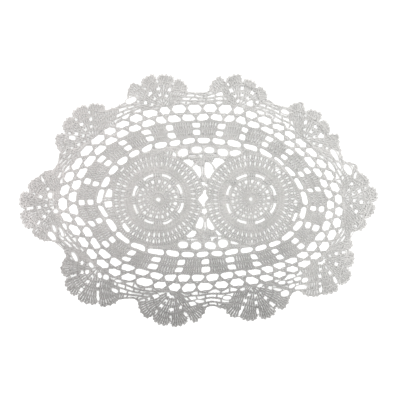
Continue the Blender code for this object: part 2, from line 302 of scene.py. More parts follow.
def alongPath(path, length):
    # the point at a length along the path, and the direction to its left
    if path["closed"]:
        length %= path["total"]
    points, lengths = path["points"], path["lengths"]
    k = min(max(bisect.bisect_right(lengths, length) - 1, 0), len(points) - 2)
    while k < len(points) - 2 and lengths[k + 1] - lengths[k] < 1e-6:
        k += 1
    (ax, ay), (bx, by) = points[k], points[k + 1]
    span = max(lengths[k + 1] - lengths[k], 1e-6)
    f = (length - lengths[k]) / span
    return (ax + (bx - ax) * f, ay + (by - ay) * f, -(by - ay) / span, (bx - ax) / span)


def inOval(x, y, gap, margin):
    # a point along and across an opening, the opening's half length and half width with
    # its margin, and how far out the point is: less than 1 is inside
    gx, gy, halfLength, halfWidth, turn = gap
    c, s = polar(1, turn, (0, 0))
    u, v = (x - gx) * c + (y - gy) * s, (y - gy) * c - (x - gx) * s
    a, b = halfLength + margin, halfWidth + margin
    return u, v, a, b, (abs(u) / a) ** ovalPower + (abs(v) / b) ** ovalPower


def keepClear(x, y, gaps, margin):
    # a point that would cross an opening moves out to its side
    for gap in gaps:
        u, v, a, b, size = inOval(x, y, gap, margin)
        if size < 1:
            edgeV = b * (1 - (abs(u) / a) ** ovalPower) ** (1 / ovalPower)
            edgeU = a * (1 - (abs(v) / b) ** ovalPower) ** (1 / ovalPower)
            if edgeV - abs(v) < edgeU - abs(u):
                v = copysign(edgeV, v)
            else:
                u = copysign(edgeU, u)
            x, y = turned(u, v, gap[4], gap[:2])
    return x, y


def inGap(x, y, gaps, margin=0.0):
    return any(inOval(x, y, gap, margin)[4] < (1.0 if margin else 0.8) for gap in gaps)


def layThread(threads, points, closed=False, gaps=()):
    shakeX, shakeY = (random.uniform(-1, 1) * yarn["stitchShake"] for _ in "xy")
    laid = []
    for x, y, z in points:
        place3 = Vector((x, y, 0)) / yarn["wanderSize"]
        drift = noise.noise_vector(place3) * yarn["wander"]
        x, y = x + drift.x + shakeX, y + drift.y + shakeY
        if gaps:
            x, y = keepClear(x, y, gaps, yarn["thickness"] / 2)
        laid.append((x, y, z))
    threads.append((laid, closed))


def layChain(threads, points, width=None, pitch=None, closed=False, gaps=()):
    # a crocheted chain: each link comes up through the last one
    path = smoothPath(points, closed)
    pitch = pitch or yarn["chainPitch"]
    half = ((width or yarn["chainWidth"]) - yarn["thickness"]) / 2
    links = max(1, round(path["total"] / pitch))
    pitch = path["total"] / links
    for link in range(links):
        loop = []
        for along, across, height in linkShape:
            x, y, nx, ny = alongPath(path, (link + along) * pitch)
            loop.append((x + nx * across * half, y + ny * across * half, layer(height)))
        layThread(threads, loop, True, gaps)


def layLine(threads, points, gaps):
    # one thread along a line, weaving a little from side to side
    path = smoothPath(points, False, 3)
    steps = max(2, round(path["total"] / 1.3))
    laid = []
    for k in range(steps + 1):
        x, y, nx, ny = alongPath(path, path["total"] * k / steps)
        off = yarn["weave"] * (1 if k % 2 else -1)
        laid.append((x + nx * off, y + ny * off, yarn["highHeight"]))
    layThread(threads, laid, False, gaps)


def layRound(threads, corners, strand, pull):
    # the rounded inside of an opening: a thread along its sides, its corners cut off
    cx = sum(x for x, _ in corners) / len(corners)
    cy = sum(y for _, y in corners) / len(corners)
    line = []
    for k, (ax, ay) in enumerate(corners):
        bx, by = corners[(k + 1) % len(corners)]
        share = 1 - pull / hypot(ax - cx, ay - cy)
        line.append((cx + (ax - cx) * share, cy + (ay - cy) * share))
        mx, my = (ax + bx) / 2, (ay + by) / 2
        length = hypot(bx - ax, by - ay)
        nx, ny = -(by - ay) / length, (bx - ax) / length
        side = copysign(strand, (cx - mx) * nx + (cy - my) * ny)
        line.append((mx + nx * side, my + ny * side))
    path = smoothPath(line, True, 2)
    laid = [(x, y, yarn["lowHeight"] + 0.5) for x, y in path["points"][:-1]]
    layThread(threads, laid, True)


def layCell(threads, spotAt, left, right, low, high, settings):
    corners = ((left, low), (right, low), (right, high), (left, high))
    layRound(threads, [spotAt(*corner) for corner in corners], settings["inset"],
             settings["pull"])


def layPost(threads, foot, head, width=None, footWidth=None, wrap=True, gaps=()):
    # a treble: two threads round each other, and one wrapped over them
    if inGap(*between(foot, head, 0.5), gaps):
        return
    width = width or yarn["postWidth"]
    footWidth = footWidth or width
    dx, dy = head[0] - foot[0], head[1] - foot[1]
    length = hypot(dx, dy)
    nx, ny = -dy / length, dx / length
    halfTurns = max(2, round(length / yarn["halfTurn"]))
    middle = layer(0.5)
    side = random.choice((-1, 1))

    def across(t):
        return (footWidth + (width - footWidth) * t - yarn["thickness"]) / 2

    def beside(t, off, height):
        return (foot[0] + dx * t + nx * off, foot[1] + dy * t + ny * off, height)

    for thread in (-1, 1):
        points = []
        for k in range(2 * halfTurns + 1):
            t = k / (2 * halfTurns)
            phase = pi / 2 * k
            off = thread * across(t) * (1 - yarn["twist"] * (1 - cos(phase)))
            rise = side * thread * yarn["turnRise"] * sin(phase)
            points.append(beside(t, off, middle + rise))
        layThread(threads, points, False, gaps)
    if wrap and length > yarn["wrapFrom"]:
        layThread(threads, [beside(t, off * (across(t) * side), height)
                            for t, off, height in wrapShape], False, gaps)


def addToScene(name, data):
    added = bpy.data.objects.new(name, data)
    bpy.context.scene.collection.objects.link(added)
    return added


def makePiece(name, threads):
    # one mesh of cotton from the threads; the settings' flat size and area, for one part, are
    # not read here
    curve = bpy.data.curves.new(name + "Yarn", "CURVE")
    curve.dimensions = "3D"
    curve.bevel_depth = yarn["thickness"] / 2 * mm
    curve.bevel_resolution = yarn["bevelResolution"]
    curve.use_fill_caps = True
    for points, closed in threads:
        spline = curve.splines.new("POLY")
        spline.points.add(len(points) - 1)
        numbers = []
        for x, y, z in points:
            numbers += [(x - originX) * mm, (y - originY) * mm, z / yarn["flatness"] * mm, 1.0]
        spline.points.foreach_set("co", numbers)
        spline.use_cyclic_u = closed
        spline.use_smooth = True
    yarnObject = addToScene(name + "Yarn", curve)
    bpy.context.view_layer.update()
    ready = yarnObject.evaluated_get(bpy.context.evaluated_depsgraph_get())
    mesh = bpy.data.meshes.new_from_object(ready)
    mesh.name = name
    bm = bmesh.new()
    bm.from_mesh(mesh)
    bmesh.ops.remove_doubles(bm, verts=bm.verts, dist=1e-6)
    bmesh.ops.scale(bm, vec=(1, 1, yarn["flatness"]), verts=bm.verts)
    bm.to_mesh(mesh)
    bm.free()
    bpy.data.objects.remove(yarnObject, do_unlink=True)
    bpy.data.curves.remove(curve)
    piece = addToScene(name, mesh)
    mesh.materials.clear()
    mesh.materials.append(cotton)
    triangles = sum(len(face.vertices) - 2 for face in mesh.polygons)
    half = sum(face.area for face in mesh.polygons) / 2
    print(f"{name}: {len(threads)} threads, {triangles} triangles, half surface {half:.5f}")
    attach(piece, "root")
    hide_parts("lace_mat")


# Cotton
cottonLook = {
    "pale": (0.505, 0.498, 0.485),
    "warm": (0.50, 0.474, 0.466),
    "mottleSize": 0.0021,
    "mottle": 0.45,
    "patchSize": 0.022,
    "patch": 0.35,
    "depth": 0.30,  # how much darker the lower threads are: painted shade in the hollows between threads
    "fibreSize": 0.0006,
    "fibre": 0.35,
    "paintedShadeBelow": 0.46,  # painted shade: how much darker the lower edge is, where less light falls
    "warmSide": 0.8,  # how warm the left side is
}


def join(tree, operation, *values):
    # one arithmetic node, with a socket or a number on each input
    node = tree.nodes.new("ShaderNodeMath")
    node.operation = operation
    for socket, value in zip(node.inputs, values):
        if isinstance(value, (int, float)):
            socket.default_value = value
        else:
            tree.links.new(value, socket)
    return node.outputs[0]


def ranged(tree, value, start, end):
    # 0 at the start and 1 at the end
    node = tree.nodes.new("ShaderNodeMapRange")
    tree.links.new(value, node.inputs["Value"])
    node.inputs["From Min"].default_value = start
    node.inputs["From Max"].default_value = end
    return node.outputs[0]


def scaled(tree, vector, factor):
    node = tree.nodes.new("ShaderNodeVectorMath")
    node.operation = "SCALE"
    tree.links.new(vector, node.inputs[0])
    tree.links.new(factor, node.inputs["Scale"])
    return node.outputs[0]


def grain(tree, coordinates, size, detail):
    # soft noise with features of a size in metres, from -0.5 to 0.5
    node = tree.nodes.new("ShaderNodeTexNoise")
    node.inputs["Scale"].default_value = 1
    node.inputs["Detail"].default_value = detail
    tree.links.new(scaled(tree, coordinates, join(tree, "DIVIDE", 1.0, size)),
                   node.inputs["Vector"])
    return join(tree, "SUBTRACT", node.outputs["Fac"], 0.5)


# the group's inputs, and the value of the look that each one takes
shadeInputs = {"Mottle Size": "mottleSize", "Mottle": "mottle", "Patch Size": "patchSize",
               "Patch": "patch", "Depth": "depth", "Fibre Size": "fibreSize", "Fibre": "fibre",
               "Painted Shade Below": "paintedShadeBelow", "Warm Side": "warmSide"}


def yarnShadeGroup():
    # how light and how warm the yarn is at a place, with painted shade on the lower threads and
    # toward the lower edge, and its fibres' normal
    tree = bpy.data.node_groups.new("yarnShade", "ShaderNodeTree")
    for name in shadeInputs:
        tree.interface.new_socket(name, in_out="INPUT", socket_type="NodeSocketFloat")
    for name, kind in (("Shade", "Float"), ("Warmth", "Float"), ("Normal", "Vector")):
        tree.interface.new_socket(name, in_out="OUTPUT", socket_type="NodeSocket" + kind)
    given = tree.nodes.new("NodeGroupInput").outputs
    result = tree.nodes.new("NodeGroupOutput").inputs
    where = tree.nodes.new("ShaderNodeTexCoord").outputs["Object"]
    parts = tree.nodes.new("ShaderNodeSeparateXYZ")
    tree.links.new(where, parts.inputs[0])
    x, y, z = parts.outputs
    mottle, patch = (join(tree, "MULTIPLY", grain(tree, where, given[name + " Size"], 2),
                          given[name]) for name in ("Mottle", "Patch"))
    # painted shade: the lower threads are made darker, as shade between the higher threads
    height = ranged(tree, z, yarn["lowHeight"] * mm, (yarn["highHeight"] + 0.2) * mm)
    low = join(tree, "MULTIPLY", join(tree, "SUBTRACT", height, 1.0), given["Depth"])
    # painted shade toward the lower edge but not at the right, where less light falls, and
    # warmer at the left
    lower, notRight = ranged(tree, y, -0.018, -0.125), ranged(tree, x, 0.170, 0.070)
    paintedLowerShade = join(tree, "MULTIPLY", join(tree, "MULTIPLY", lower, notRight),
                 given["Painted Shade Below"])
    left = join(tree, "MULTIPLY", ranged(tree, x, 0.02, -0.18), given["Warm Side"])
    warmth = join(tree, "ADD", left, join(tree, "MULTIPLY", patch, 1.5))
    shade = join(tree, "ADD", join(tree, "ADD", mottle, patch), join(tree, "ADD", low, 1.0))
    tree.links.new(join(tree, "MULTIPLY", shade, join(tree, "SUBTRACT", 1.0, paintedLowerShade)),
                   result["Shade"])
    tree.links.new(warmth, result["Warmth"])
    bump = tree.nodes.new("ShaderNodeBump")
    bump.inputs["Distance"].default_value = 0.0003
    tree.links.new(given["Fibre"], bump.inputs["Strength"])
    tree.links.new(grain(tree, where, given["Fibre Size"], 3), bump.inputs["Height"])
    tree.links.new(bump.outputs[0], result["Normal"])
    return tree


def newMaterial(name, roughness):
    material = bpy.data.materials.new(name)
    material.use_nodes = True
    shader = material.node_tree.nodes["Principled BSDF"]
    shader.inputs["Roughness"].default_value = roughness
    return material, shader


def cottonMaterial(name, look, group):
    material, shader = newMaterial(name, 0.9)
    nodes, links = material.node_tree.nodes, material.node_tree.links
    shader.inputs["Sheen Weight"].default_value = 0.1
    shade = nodes.new("ShaderNodeGroup")
    shade.node_tree = group
    for socket, key in shadeInputs.items():
        shade.inputs[socket].default_value = look[key]
    tint = nodes.new("ShaderNodeMix")
    tint.data_type = "RGBA"
    tint.inputs["A"].default_value = (*look["pale"], 1)
    tint.inputs["B"].default_value = (*look["warm"], 1)
    links.new(shade.outputs["Warmth"], tint.inputs["Factor"])
    links.new(scaled(material.node_tree, tint.outputs["Result"], shade.outputs["Shade"]),
              shader.inputs["Base Color"])
    links.new(shade.outputs["Normal"], shader.inputs["Normal"])
    return material


cotton = cottonMaterial("cotton", cottonLook, yarnShadeGroup())

# The net: two rounds of cells, half a cell apart
net = {"flat": (0.022, 0.77), "area": 0.0115, "strand": 2.4, "inset": 0.35, "pull": 2.4,
       "extraZigzag": 0.5}


def makeNet():
    threads = []
    low, strand = mat["blockTop"], net["strand"]
    wave = mat["zigzag"] + net["extraZigzag"]

    def upper(cell):
        return spot(cell, mat["netTop"] + (-wave if cell % 1 else wave))

    def lower(cell):
        return spot(cell, mat["netMiddle"] + (wave if cell % 1 else -wave))

    for line in (upper, lower):
        layChain(threads, [line(k / 2 - 0.5) for k in range(2 * mat["netCells"])], strand,
                 closed=True)
    for cell in range(mat["netCells"]):
        layChain(threads, [lower(cell + 0.5), upper(cell + 0.5)], strand)
        layChain(threads, [spot(cell, low), lower(cell)], strand)
        for corners in ([lower(cell - 0.5), lower(cell), lower(cell + 0.5),
                         upper(cell + 0.5), upper(cell), upper(cell - 0.5)],
                        [spot(cell, low), spot(cell + 1, low), lower(cell + 1),
                         lower(cell + 0.5), lower(cell)]):
            layRound(threads, corners, net["inset"], net["pull"])
    makePiece("honeycombNet", threads)


# The block ring: solid blocks of trebles, with two cells between each and the next
blocks = {"flat": (0.021, 0.66), "area": 0.0135, "stitch": 2.66, "tuck": 0.7, "inset": 0.8,
          "pull": 2.0}


def makeBlocks():
    threads = []
    levels = (mat["blockBottom"], mat["blockMiddle"], mat["blockTop"])
    for level in levels:
        layChain(threads, [spot(k / 2, level) for k in range(2 * mat["netCells"])], closed=True)
    for block in range(mat["blockCells"]):
        left = 2 * block - (1 - mat["pairHalf"])
        right = 2 * block + (1 - mat["pairHalf"])
        for low, high in zip(levels, levels[1:]):
            across = dist(*(spot(cell, (low + high) / 2) for cell in (left, right)))
            stitches = round(across / blocks["stitch"])
            for k in range(stitches + 1):
                cell = left + (right - left) * k / stitches
                layPost(threads, spot(cell, low + blocks["tuck"]),
                        spot(cell, high - blocks["tuck"]))
        for low, high in zip(levels, levels[1:]):
            layCell(threads, spot, right, left + 2, low, high, blocks)
    makePiece("blockRing", threads)


# The row of cells inside the blocks
cellRow = {"flat": (0.011, 0.58), "area": 0.0045, "inset": 0.8, "pull": 3.0}


def makeRow():
    threads = []
    steps = 4 * mat["rowCells"]
    layChain(threads, [rowSpot(roundLength * k / steps, mat["cellBottom"])
                       for k in range(steps)], closed=True)
    for cell in range(mat["rowCells"]):
        walk = rowWalk(cell + 0.5)
        layChain(threads, [rowSpot(walk, mat["cellBottom"] + 1),
                           rowSpot(walk, mat["blockBottom"] - 1)])
        layCell(threads, rowSpot, walk, rowWalk(cell + 1.5), mat["cellBottom"],
                mat["blockBottom"], cellRow)
    makePiece("cellRow", threads)


# The two round centres, from the inside out
centreRound = {
    "flat": (0.104, 0.104), "area": 0.0083, "arcs": 8, "arcReach": 27.0, "arcHalf": 1.2,
    "arcLength": 10.6, "arcStarts": {-1: 24.0, 1: 23.0},
    "liningBow": ((-0.32, -0.3), (-0.16, 0.5), (0, 0.8), (0.16, 0.5), (0.32, -0.3)),
    # radius, width and pitch of each chain
    "rings": (
        (2.8, 1.5, 1.8), (12.9, 2.6, 2.6), (17.2, 2.4, 2.6), (22.9, 2.8, 2.6),
        (29.6, 2.2, 3.0), (36.7, 2.0, 2.8), (43.4, 3.4, 2.8), (49.9, 3.2, 2.5),
    ),
    # foot and head of each round of trebles, groups round it, stitches a group, how far
    # apart they sit at foot and head, how wide each is at foot and head
    "rounds": (
        (3.0, 12.2, 24, 1, 0, 0, 1.1, 3.0),
        (13.6, 16.6, 16, 2, 1.9, 2.0, 1.8, 2.0),
        (18.2, 22.4, 18, 2, 2.3, 2.6, 2.0, 2.3),
        (30.2, 36.2, 48, 3, 1.3, 1.55, 1.5, 1.8),
        (37.4, 42.0, 48, 2, 1.8, 2.0, 1.9, 2.1),
        (45.2, 48.8, 48, 2, 2.4, 2.6, 2.2, 2.3),
    ),
}
waistStar = {"x": -0.8, "y": 1.0, "halfWidth": 7.2, "halfHeight": 10.2, "pinch": 1.15}


def clearOfStar(point, margin=0.8):
    # a point moves out sideways from the pointed opening between the centres
    dx, dy = point[0] - waistStar["x"], point[1] - waistStar["y"]
    rise = abs(dy) / (waistStar["halfHeight"] + margin)
    if rise >= 1:
        return point
    half = (waistStar["halfWidth"] + margin) * (1 - rise) ** waistStar["pinch"]
    if abs(dx) < half:
        return (waistStar["x"] + copysign(half, dx), point[1])
    return point


def makeCentre(side, name):
    threads = []
    middle = (side * mat["focus"], 0)
    start = centreRound["arcStarts"][side]
    arcTurn = 360 / centreRound["arcs"]
    for radius, width, pitch in centreRound["rings"]:
        count = max(12, round(radius * 2.2))
        layChain(threads, [clearOfStar(polar(radius, 360 * k / count, middle))
                           for k in range(count)], width, pitch, True, rimRows)
    for footReach, headReach, groups, stitches, footApart, apart, footWidth, width in (
            centreRound["rounds"]):
        for group in range(groups):
            centre = start + arcTurn / 2 + 360 * (group + 0.5) / groups
            for k in range(stitches):
                offset = k - (stitches - 1) / 2
                foot, head = (
                    clearOfStar(polar(out, centre + math.degrees(offset * gap / out), middle))
                    for out, gap in ((footReach, footApart), (headReach, apart)))
                if dist(foot, head) > yarn["shortest"]:
                    layPost(threads, foot, head, width, footWidth, stitches == 1, rimRows)
    # the bars between the arcs' slots
    reach, half = centreRound["arcReach"], centreRound["arcHalf"]
    slotTurn = math.degrees(centreRound["arcLength"] / reach)
    for arc in range(centreRound["arcs"]):
        centre = start + arcTurn * (arc + 0.5)
        bars = round((arcTurn - slotTurn) * radians(reach) / 2.4)
        for bar in range(bars):
            bearing = centre + (arcTurn - slotTurn) * ((bar + 0.5) / bars - 0.5)
            layPost(threads, polar(reach - half - 1.2, bearing, middle),
                    polar(reach + half + 1.0, bearing, middle), 2.2)
        layChain(threads, [polar(reach - half - 0.9 + bow, centre + arcTurn * (0.5 + t), middle)
                           for t, bow in centreRound["liningBow"]], 1.6)
    makePiece(name, threads)


# Loops, strands and close stitches between the two centres and the row
waist = {
    "flat": (0.10, 0.10), "area": 0.0050, "strand": 2.0, "fillPitch": 2.5, "fillRow": 0.87,
    "fillX": 95, "fillY": 60, "loopMargin": 1.1, "sideSpan": 214.0, "sidePitch": 2.5,
}
# one row an opening: x, y, half length, half width and turn. First the loops
loopRows = (
    (-52.1, 48.9, 5.4, 2.5, 0), (-36.9, 50.2, 5.6, 2.9, -14), (-23.8, 52.3, 5.4, 3.7, 20),
    (-8.4, 55.3, 5.6, 3.4, 3), (5.7, 54.5, 5.5, 3.2, -3), (20.7, 52.3, 5.6, 3.7, -8),
    (34.9, 51.5, 6.2, 3.0, 4), (-23.6, -50.5, 5.5, 3.4, 0), (-8.8, -51.5, 5.5, 3.8, 0),
    (6.8, -51.3, 6.0, 3.7, -8), (21.0, -49.0, 5.5, 4.1, 6), (34.3, -47.9, 4.6, 2.3, -6),
    (51.1, -46.9, 5.0, 2.1, 8),
)
# where the row stands off a centre's rim
rimRows = (
    (-87.0, -32.2, 5.4, 2.3, -50), (-106.6, 8.1, 4.9, 1.8, 88), (-107.7, -4.6, 3.7, 1.2, -80),
    (-92.0, 34.4, 3.3, 1.3, 32), (81.7, 32.1, 4.7, 2.4, -54), (101.8, -3.7, 3.7, 2.5, -80),
    (100.5, 7.9, 3.3, 1.1, -80), (101.4, -19.5, 4.2, 0.9, 75), (92.1, -31.1, 4.4, 1.5, 27),
    (79.1, -42.2, 4.4, 1.6, 36), (54.0, 48.3, 3.9, 1.1, -8),
)
# the larger openings, then thin slits and small holes
waistGaps = (
    (5.2, 32.2, 4.8, 7.8, 8), (-8.2, 31.0, 4.2, 6.6, 20), (16.0, 40.2, 5.3, 5.2, 20),
    (-18.4, 40.6, 5.2, 3.4, -14), (-4.7, -26.4, 3.6, 6.4, -16), (6.9, -27.6, 4.2, 6.2, 20),
    (-15.3, -38.6, 5.2, 3.7, 12), (16.9, -36.5, 3.3, 3.7, 30), (-14.4, 48.3, 5.4, 0.5, 3),
    (7.4, 48.5, 6.0, 0.5, -2), (-3.4, 47.5, 1.2, 1.3, 0), (-13.2, -45.2, 5.4, 0.6, 4),
    (9.6, -43.2, 2.3, 0.8, 0), (16.5, -43.2, 2.6, 0.9, 6), (-0.7, 16.9, 1.6, 1.3, 0),
    (0.1, -14.4, 2.4, 1.5, 0), (15.5, 30.6, 1.4, 1.0, 40), (-16.4, -28.7, 1.3, 1.4, 0),
    (1.2, -30.5, 0.5, 6.0, -4), (-1.3, -42.6, 2.2, 0.6, 35), (-1.9, 31.0, 0.5, 7.0, 4),
)
waistStrands = (
    ((-2.0, 20.0), (-3.3, 32.0), (-3.5, 46.5)),
    ((-0.2, 20.0), (-0.5, 32.0), (0.3, 46.5)),
    ((1.5, 46.0), (8.5, 39.0), (13.0, 31.0)),
    ((-3.5, 44.5), (-11.0, 38.0), (-15.5, 33.5)),
    ((-0.8, -17.0), (-0.6, -28.0), (-4.5, -39.5)),
    ((1.6, -17.0), (3.0, -28.0), (2.6, -40.0)),
    ((3.0, -39.0), (9.5, -37.0), (14.5, -31.0)),
    ((-4.0, -38.5), (-9.0, -34.0), (-13.0, -30.5)),
    ((-25.0, 43.0), (-18.0, 45.9), (-11.0, 46.4), (-4.0, 46.2)),
    ((1.5, 46.2), (7.5, 46.6), (14.0, 46.9), (22.0, 45.6)),
    ((-24.0, -42.9), (-16.0, -43.3), (-6.0, -43.0)),
    ((5.0, -41.2), (12.0, -41.4), (20.0, -41.6)),
)


def ovalLine(gap, margin, count=14):
    # a closed line round an opening
    x, y, halfLength, halfWidth, turn = gap
    line = []
    for k in range(count):
        c, s = cos(2 * pi * k / count), sin(2 * pi * k / count)
        u = copysign(abs(c) ** 0.8, c) * (halfLength + margin)
        v = copysign(abs(s) ** 0.8, s) * (halfWidth + margin)
        line.append(turned(u, v, turn, (x, y)))
    return line


def betweenCentres(x, y, margin):
    # inside the row of cells and outside both round centres
    outer = centreRound["rings"][-1][0] + 0.4 + margin
    if any(hypot(x - side * mat["focus"], y) < outer for side in (-1, 1)):
        return False
    walk, reach = locate((x, y))
    return reach < reachAt(walk, netUnder(walk), mat["cellBottom"]) - margin


def makeWaist():
    threads = []
    gaps = loopRows + rimRows + waistGaps
    for points in waistStrands:
        layChain(threads, points, waist["strand"], gaps=waistGaps)
    for gap in loopRows:
        layChain(threads, ovalLine(gap, waist["loopMargin"]), 2.1, closed=True, gaps=gaps)
    # where a centre's rim and the row run side by side, trebles join them
    for side in (-1, 1):
        middle = (side * mat["focus"], 0)
        outer = centreRound["rings"][-1][0] + 1.2
        number = round(radians(waist["sideSpan"]) * outer / waist["sidePitch"])
        for k in range(number):
            bearing = 90 - 90 * side + waist["sideSpan"] * (k / (number - 1) - 0.5)
            foot = polar(outer, bearing, middle)
            head = rowSpot(locate(foot)[0], mat["cellBottom"])
            if dist(foot, head) > yarn["shortest"]:
                layPost(threads, foot, head, 2.2, gaps=gaps)
    # close stitches over what is left, each a link turned along the nearer centre's rim
    pitch = waist["fillPitch"]
    row = waist["fillRow"]
    for line in range(round(2 * waist["fillY"] / (pitch * row))):
        for column in range(round(2 * waist["fillX"] / pitch)):
            x = (column + 0.5 * (line % 2)) * pitch - waist["fillX"]
            y = line * pitch * row - waist["fillY"]
            if (not betweenCentres(x, y, 1.0) or inGap(x, y, gaps, 0.9) or abs(x) > 66
                    or clearOfStar((x, y), 1.2) != (x, y)):
                continue
            focus = copysign(mat["focus"], x)
            away = bearingOf((x, y), (focus, 0)) + random.uniform(-14, 14)
            loop = []
            for along, across, height in linkShape:
                loop.append((*turned((along - 0.5) * pitch * 1.1, across * pitch * 0.36,
                                     away, (x, y)), layer(height)))
            layThread(threads, loop, True, gaps)
    makePiece("waistJoin", threads)


# Scallops: rounds of trebles from the hub, then a fan with picots on each lobe
edging = {
    "flat": (0.042, 0.105), "area": 0.0028,
    "pieces": (("upperScallops", (1, 2, 3, 4)), ("lowerScallops", (6, 7, 8, 9)),
               ("endScallops", (0, 5))),
    "ringRadii": (7.5, 15.0, 22.5),
    "leaving": (74.0, 66.0, 60.0),  # bearings at which a round leaves its scallop
    "strand": 2.4, "fanDepth": 8.5,
    "spokeReach": 19.0,  # the openings between the spokes
    "spokeHalf": (1.75, 1.6),
    "pinHoles": ((4.6, 0.8), (11.4, 1.3), (27.0, 1.4)),  # how far out, and half how long
    "closeReach": (8.5, 12.5, 17.0, 21.0),  # how far from a hub the trebles stay close
    "postPitch": 2.45, "width": 2.3, "footWidth": 1.9, "hubWidth": 1.1, "longest": 16.0,
    "tiePitch": 9.5, "longestTie": 8.0, "fanStitches": 8, "fanWidth": 2.45,
    "rimChain": 12.0,  # how far from a low point the rim's chain stops
    "picots": (-12.6, -7.6, 0.0, 7.8, 12.6), "picotDepth": 1.5,
}
# the scallop, bearing and reach from its hub, half length, half width and turn
sideRows = (
    (0, 83, 33.2, 6.6, 3.2, 39), (0, 99, 38.8, 4.6, 1.8, 27), (1, -64, 38.0, 8.0, 2.5, -30),
    (1, 87, 37.5, 5.0, 2.0, 36), (3, 63, 35.4, 6.2, 3.0, 33), (4, 37, 23.6, 3.9, 2.3, -18),
    (5, 80, 36.0, 6.6, 2.9, 48), (5, -59, 11.0, 3.3, 2.6, -41), (5, 82, 27.4, 4.4, 1.9, 29),
    (6, -57, 8.5, 3.8, 2.1, -35), (6, -63, 29.0, 6.0, 2.0, -30), (6, 110, 27.1, 4.3, 1.8, 24),
    (8, 42, 36.1, 5.2, 3.5, 25), (8, -100, 31.6, 4.4, 2.0, -31), (8, 62, 32.0, 4.0, 1.8, 2),
    (9, -94, 29.0, 3.9, 2.4, -35), (9, -92, 37.4, 7.2, 2.2, -49),
)
hubs = [hub(index) for index in range(len(scallops))]
# in and beside the scallops, where the rounds are pulled apart
pulledRows = (
    (-165.0, -12.7, 2.8, 2.5, -50), (-158.8, -35.7, 5.8, 1.6, -60),
    (-109.6, -86.6, 3.4, 2.8, -10), (-116.6, -84.4, 3.1, 1.9, -70),
    (-130.4, -81.0, 2.4, 2.4, 0), (-99.6, -101.8, 4.2, 1.9, -25), (103.7, -88.6, 4.4, 1.9, 12),
    (97.4, -96.7, 3.6, 1.9, 28), (81.4, -100.5, 4.6, 1.5, -5), (62.6, -95.9, 3.6, 1.8, 20),
    (42.4, -99.8, 2.9, 1.9, 10), (-4.9, -113.7, 5.0, 1.6, -5),
)


def spokes(index):
    # the bearings between a scallop's lobes
    return [hubs[index][1] + scallops[index]["lean"] + edge["lobePitch"] * k
            for k in (-1.5, -0.5, 0.5, 1.5)]


def scallopGaps():
    gaps = [*pulledRows]
    for scallop, bearing, reach, halfLength, halfWidth, turn in sideRows:
        centre, facing = hubs[scallop]
        bearing += facing
        gaps.append((*polar(reach, bearing, centre), halfLength, halfWidth, bearing + turn))
    for index in range(len(scallops)):
        gaps += [(*polar(edging["spokeReach"], bearing, hubs[index][0]),
                  *edging["spokeHalf"], bearing) for bearing in spokes(index)]
    return gaps


openings = scallopGaps()


def rayLength(line, centre, degrees):
    # how far out from a point a closed line is first crossed, at a bearing
    dx, dy = polar(1, degrees, (0, 0))
    crossings = []
    for k in range(len(line)):
        (ax, ay), (bx, by) = line[k - 1], line[k]
        ex, ey = bx - ax, by - ay
        det = dx * ey - dy * ex
        if abs(det) < 1e-9:
            continue
        px, py = ax - centre[0], ay - centre[1]
        t = (px * ey - py * ex) / det
        s = (px * dy - py * dx) / det
        if 0 <= s <= 1 and t > 0.5:
            crossings.append(t)
    return min(crossings, default=None)


def riseAt(point):
    # where a point is along the mat's edge, and its rise from the net
    walk, reach = locate(point)
    return walk, reach - netUnder(walk)


def scallopRing(level):
    # one round of the edging, all the way round the mat
    ring = []
    leave = edging["leaving"][level]
    for index, row in enumerate(scallops):
        centre, facing = hubs[index]
        for bearing in (-leave, -36, -18, 0, 18, 36, leave):
            turn = row["lean"] * (1 - min(1, abs(bearing) / 60) * 0.6)
            ring.append(polar(edging["ringRadii"][level], facing + turn + bearing, centre))
        # on to the next scallop, evenly by way of the low point
        centre, facing = hubs[(index + 1) % len(scallops)]
        after = polar(edging["ringRadii"][level], facing - leave, centre)
        ends = [riseAt(ring[-1]), riseAt(after)]
        share = (level + 1) / (len(edging["ringRadii"]) + 1)
        low = (row["dipWalk"], mat["netTop"] + (row["dip"] - 0.9 - mat["netTop"]) * share)
        if ends[1][0] < low[0]:
            ends[1] = (ends[1][0] + roundLength, ends[1][1])
        for (aw, ar), (bw, br), steps in ((ends[0], low, (0.35, 0.7, 1.0)),
                                          (low, ends[1], (0.3, 0.65))):
            for t in steps:
                walk = aw + (bw - aw) * t
                ring.append(place(walk, netUnder(walk % roundLength) + ar + (br - ar) * t))
    return ring


def insetLine(line, depth):
    # a closed line moved in from the outline, with its corners kept
    moved = []
    count = len(line)
    for k in range(count):
        (ax, ay), (bx, by) = line[k - 2], line[(k + 2) % count]
        length = hypot(bx - ax, by - ay)
        x, y = line[k]
        moved.append((x - (by - ay) / length * depth, y + (bx - ax) / length * depth))
    return moved


# a round has 12 knots a scallop, knots 0 to 6 round its hub, and 8 steps from knot to knot
roundKnots, hubKnots, roundSteps = 12, 6, 8
rings = [smoothPath(scallopRing(level), True, roundSteps)["points"][:-1]
         for level in range(len(edging["ringRadii"]))]
rim = insetLine(smoothPath(outline, True, 2)["points"][:-1], edging["picotDepth"])


def ringPart(ring, index):
    # the stretch of a round from the low point before a scallop to the one after it
    part = []
    for point in ring:
        walk, _ = locate(point)
        if index == 0 and walk > roundLength / 2:
            walk -= roundLength
        if lowBefore(index) - 1 <= walk <= scallops[index]["dipWalk"] + 1:
            part.append((walk, point))
    return [point for _, point in (part if index else sorted(part))]


def nearDip(point, index):
    # how far along the mat's edge a point is from the nearer low point
    walk, _ = locate(point)
    return min(abs(walkPast(walk, scallops[k]["dipWalk"])) for k in (index - 1, index))


# the small holes between the lobes, one in each round
holes = [(*polar(reach, bearing, hubs[index][0]), size, size * 0.85, bearing)
         for index in range(len(scallops)) for reach, size in edging["pinHoles"]
         for bearing in spokes(index)]


